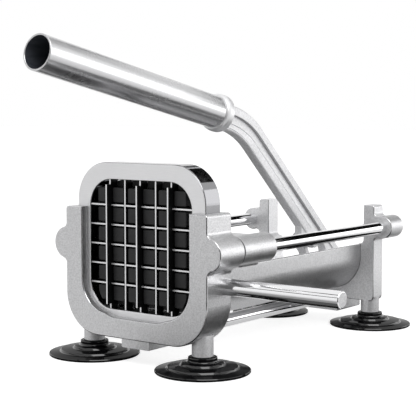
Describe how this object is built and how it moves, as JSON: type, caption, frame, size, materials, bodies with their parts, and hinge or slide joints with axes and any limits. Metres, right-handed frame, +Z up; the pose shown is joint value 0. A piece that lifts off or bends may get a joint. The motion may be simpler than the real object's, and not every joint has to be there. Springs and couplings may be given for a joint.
{
  "type": "french fry cutter",
  "caption": "Lever-operated potato cutter: a studded pusher on guide rods drives produce from a trough through a square blade grid; suction feet.",
  "frame": {"origin": "on the table, at the middle in X and Y of the whole machine's bounding box. The machine's own plane of symmetry lies at X = -33.25 mm, because the side bar stands out on the right only", "axes": "+X across the machine, towards the side bar; +Y from the blade grid towards the lever's fulcrum, the longest extent; +Z up from the table"},
  "size_m": [0.217, 0.3462, 0.205],
  "materials": {
    "cast_aluminium": "satin, blasted and tumbled",
    "machined_aluminium": "light matt front, polished rim",
    "blade_steel": "ground and polished",
    "polished_steel": "polished",
    "brushed_steel": "brushed",
    "black_rubber": "smooth semi-gloss",
    "black_plastic": "fine moulded",
    "bush_plastic": "moulded",
    "screw_steel": "bright zinc"
  },
  "bodies": {
    "frame": {"front_casting": "cast_aluminium", "blade_frame": "machined_aluminium", "blade_upright_1": "blade_steel", "blade_upright_2": "blade_steel", "blade_upright_3": "blade_steel", "blade_upright_4": "blade_steel", "blade_upright_5": "blade_steel", "blade_level_1": "blade_steel", "blade_level_2": "blade_steel", "blade_level_3": "blade_steel", "blade_level_4": "blade_steel", "blade_level_5": "blade_steel", "trough": "cast_aluminium", "rear_plate": "cast_aluminium", "side_bar": "polished_steel", "tie_rod": "polished_steel", "fulcrum_bracket": "cast_aluminium", "fulcrum_pin": "screw_steel", "fulcrum_pin_clip": "screw_steel", "guide_rod_right": "polished_steel", "suction_foot_front_right": "black_rubber", "suction_foot_rear_right": "black_rubber", "set_screw_front_right": "screw_steel", "set_screw_rear_right": "screw_steel", "bracket_screw_right": "screw_steel", "guide_rod_left": "polished_steel", "suction_foot_front_left": "black_rubber", "suction_foot_rear_left": "black_rubber", "set_screw_front_left": "screw_steel", "set_screw_rear_left": "screw_steel", "bracket_screw_left": "screw_steel"},
    "carriage": {"crosshead": "cast_aluminium", "pusher_block": "black_plastic", "pusher_screw_1": "screw_steel", "pusher_screw_2": "screw_steel", "pusher_screw_3": "screw_steel", "pusher_screw_4": "screw_steel", "drawbar_bolt_1": "screw_steel", "drawbar_bolt_2": "screw_steel", "drive_pin": "screw_steel", "drive_pin_clip": "screw_steel", "drawbar_right": "brushed_steel", "sleeve_bush_front_right": "bush_plastic", "sleeve_bush_rear_right": "bush_plastic", "drawbar_left": "brushed_steel", "sleeve_bush_front_left": "bush_plastic", "sleeve_bush_rear_left": "bush_plastic"},
    "lever": {"lever_arm": "cast_aluminium", "fulcrum_bush": "bush_plastic", "grip_collar": "cast_aluminium", "grip_tube": "brushed_steel"}
  },
  "joints": [
    {"name": "lever_hinge", "type": "hinge", "parent": "frame", "child": "lever", "pos_m": [-0.03325, 0.16109, 0.023], "axis": [-1, 0, 0], "range_deg": [0, 105.7]},
    {"name": "carriage_slide", "type": "slide", "parent": "frame", "child": "carriage", "axis": [0, 1, 0], "range_m": [0, 0.1042]}
  ],
  "couplings": [
    {"joint": "carriage_slide", "follows": "lever_hinge", "m_per_rad": 0.056375}
  ]
}
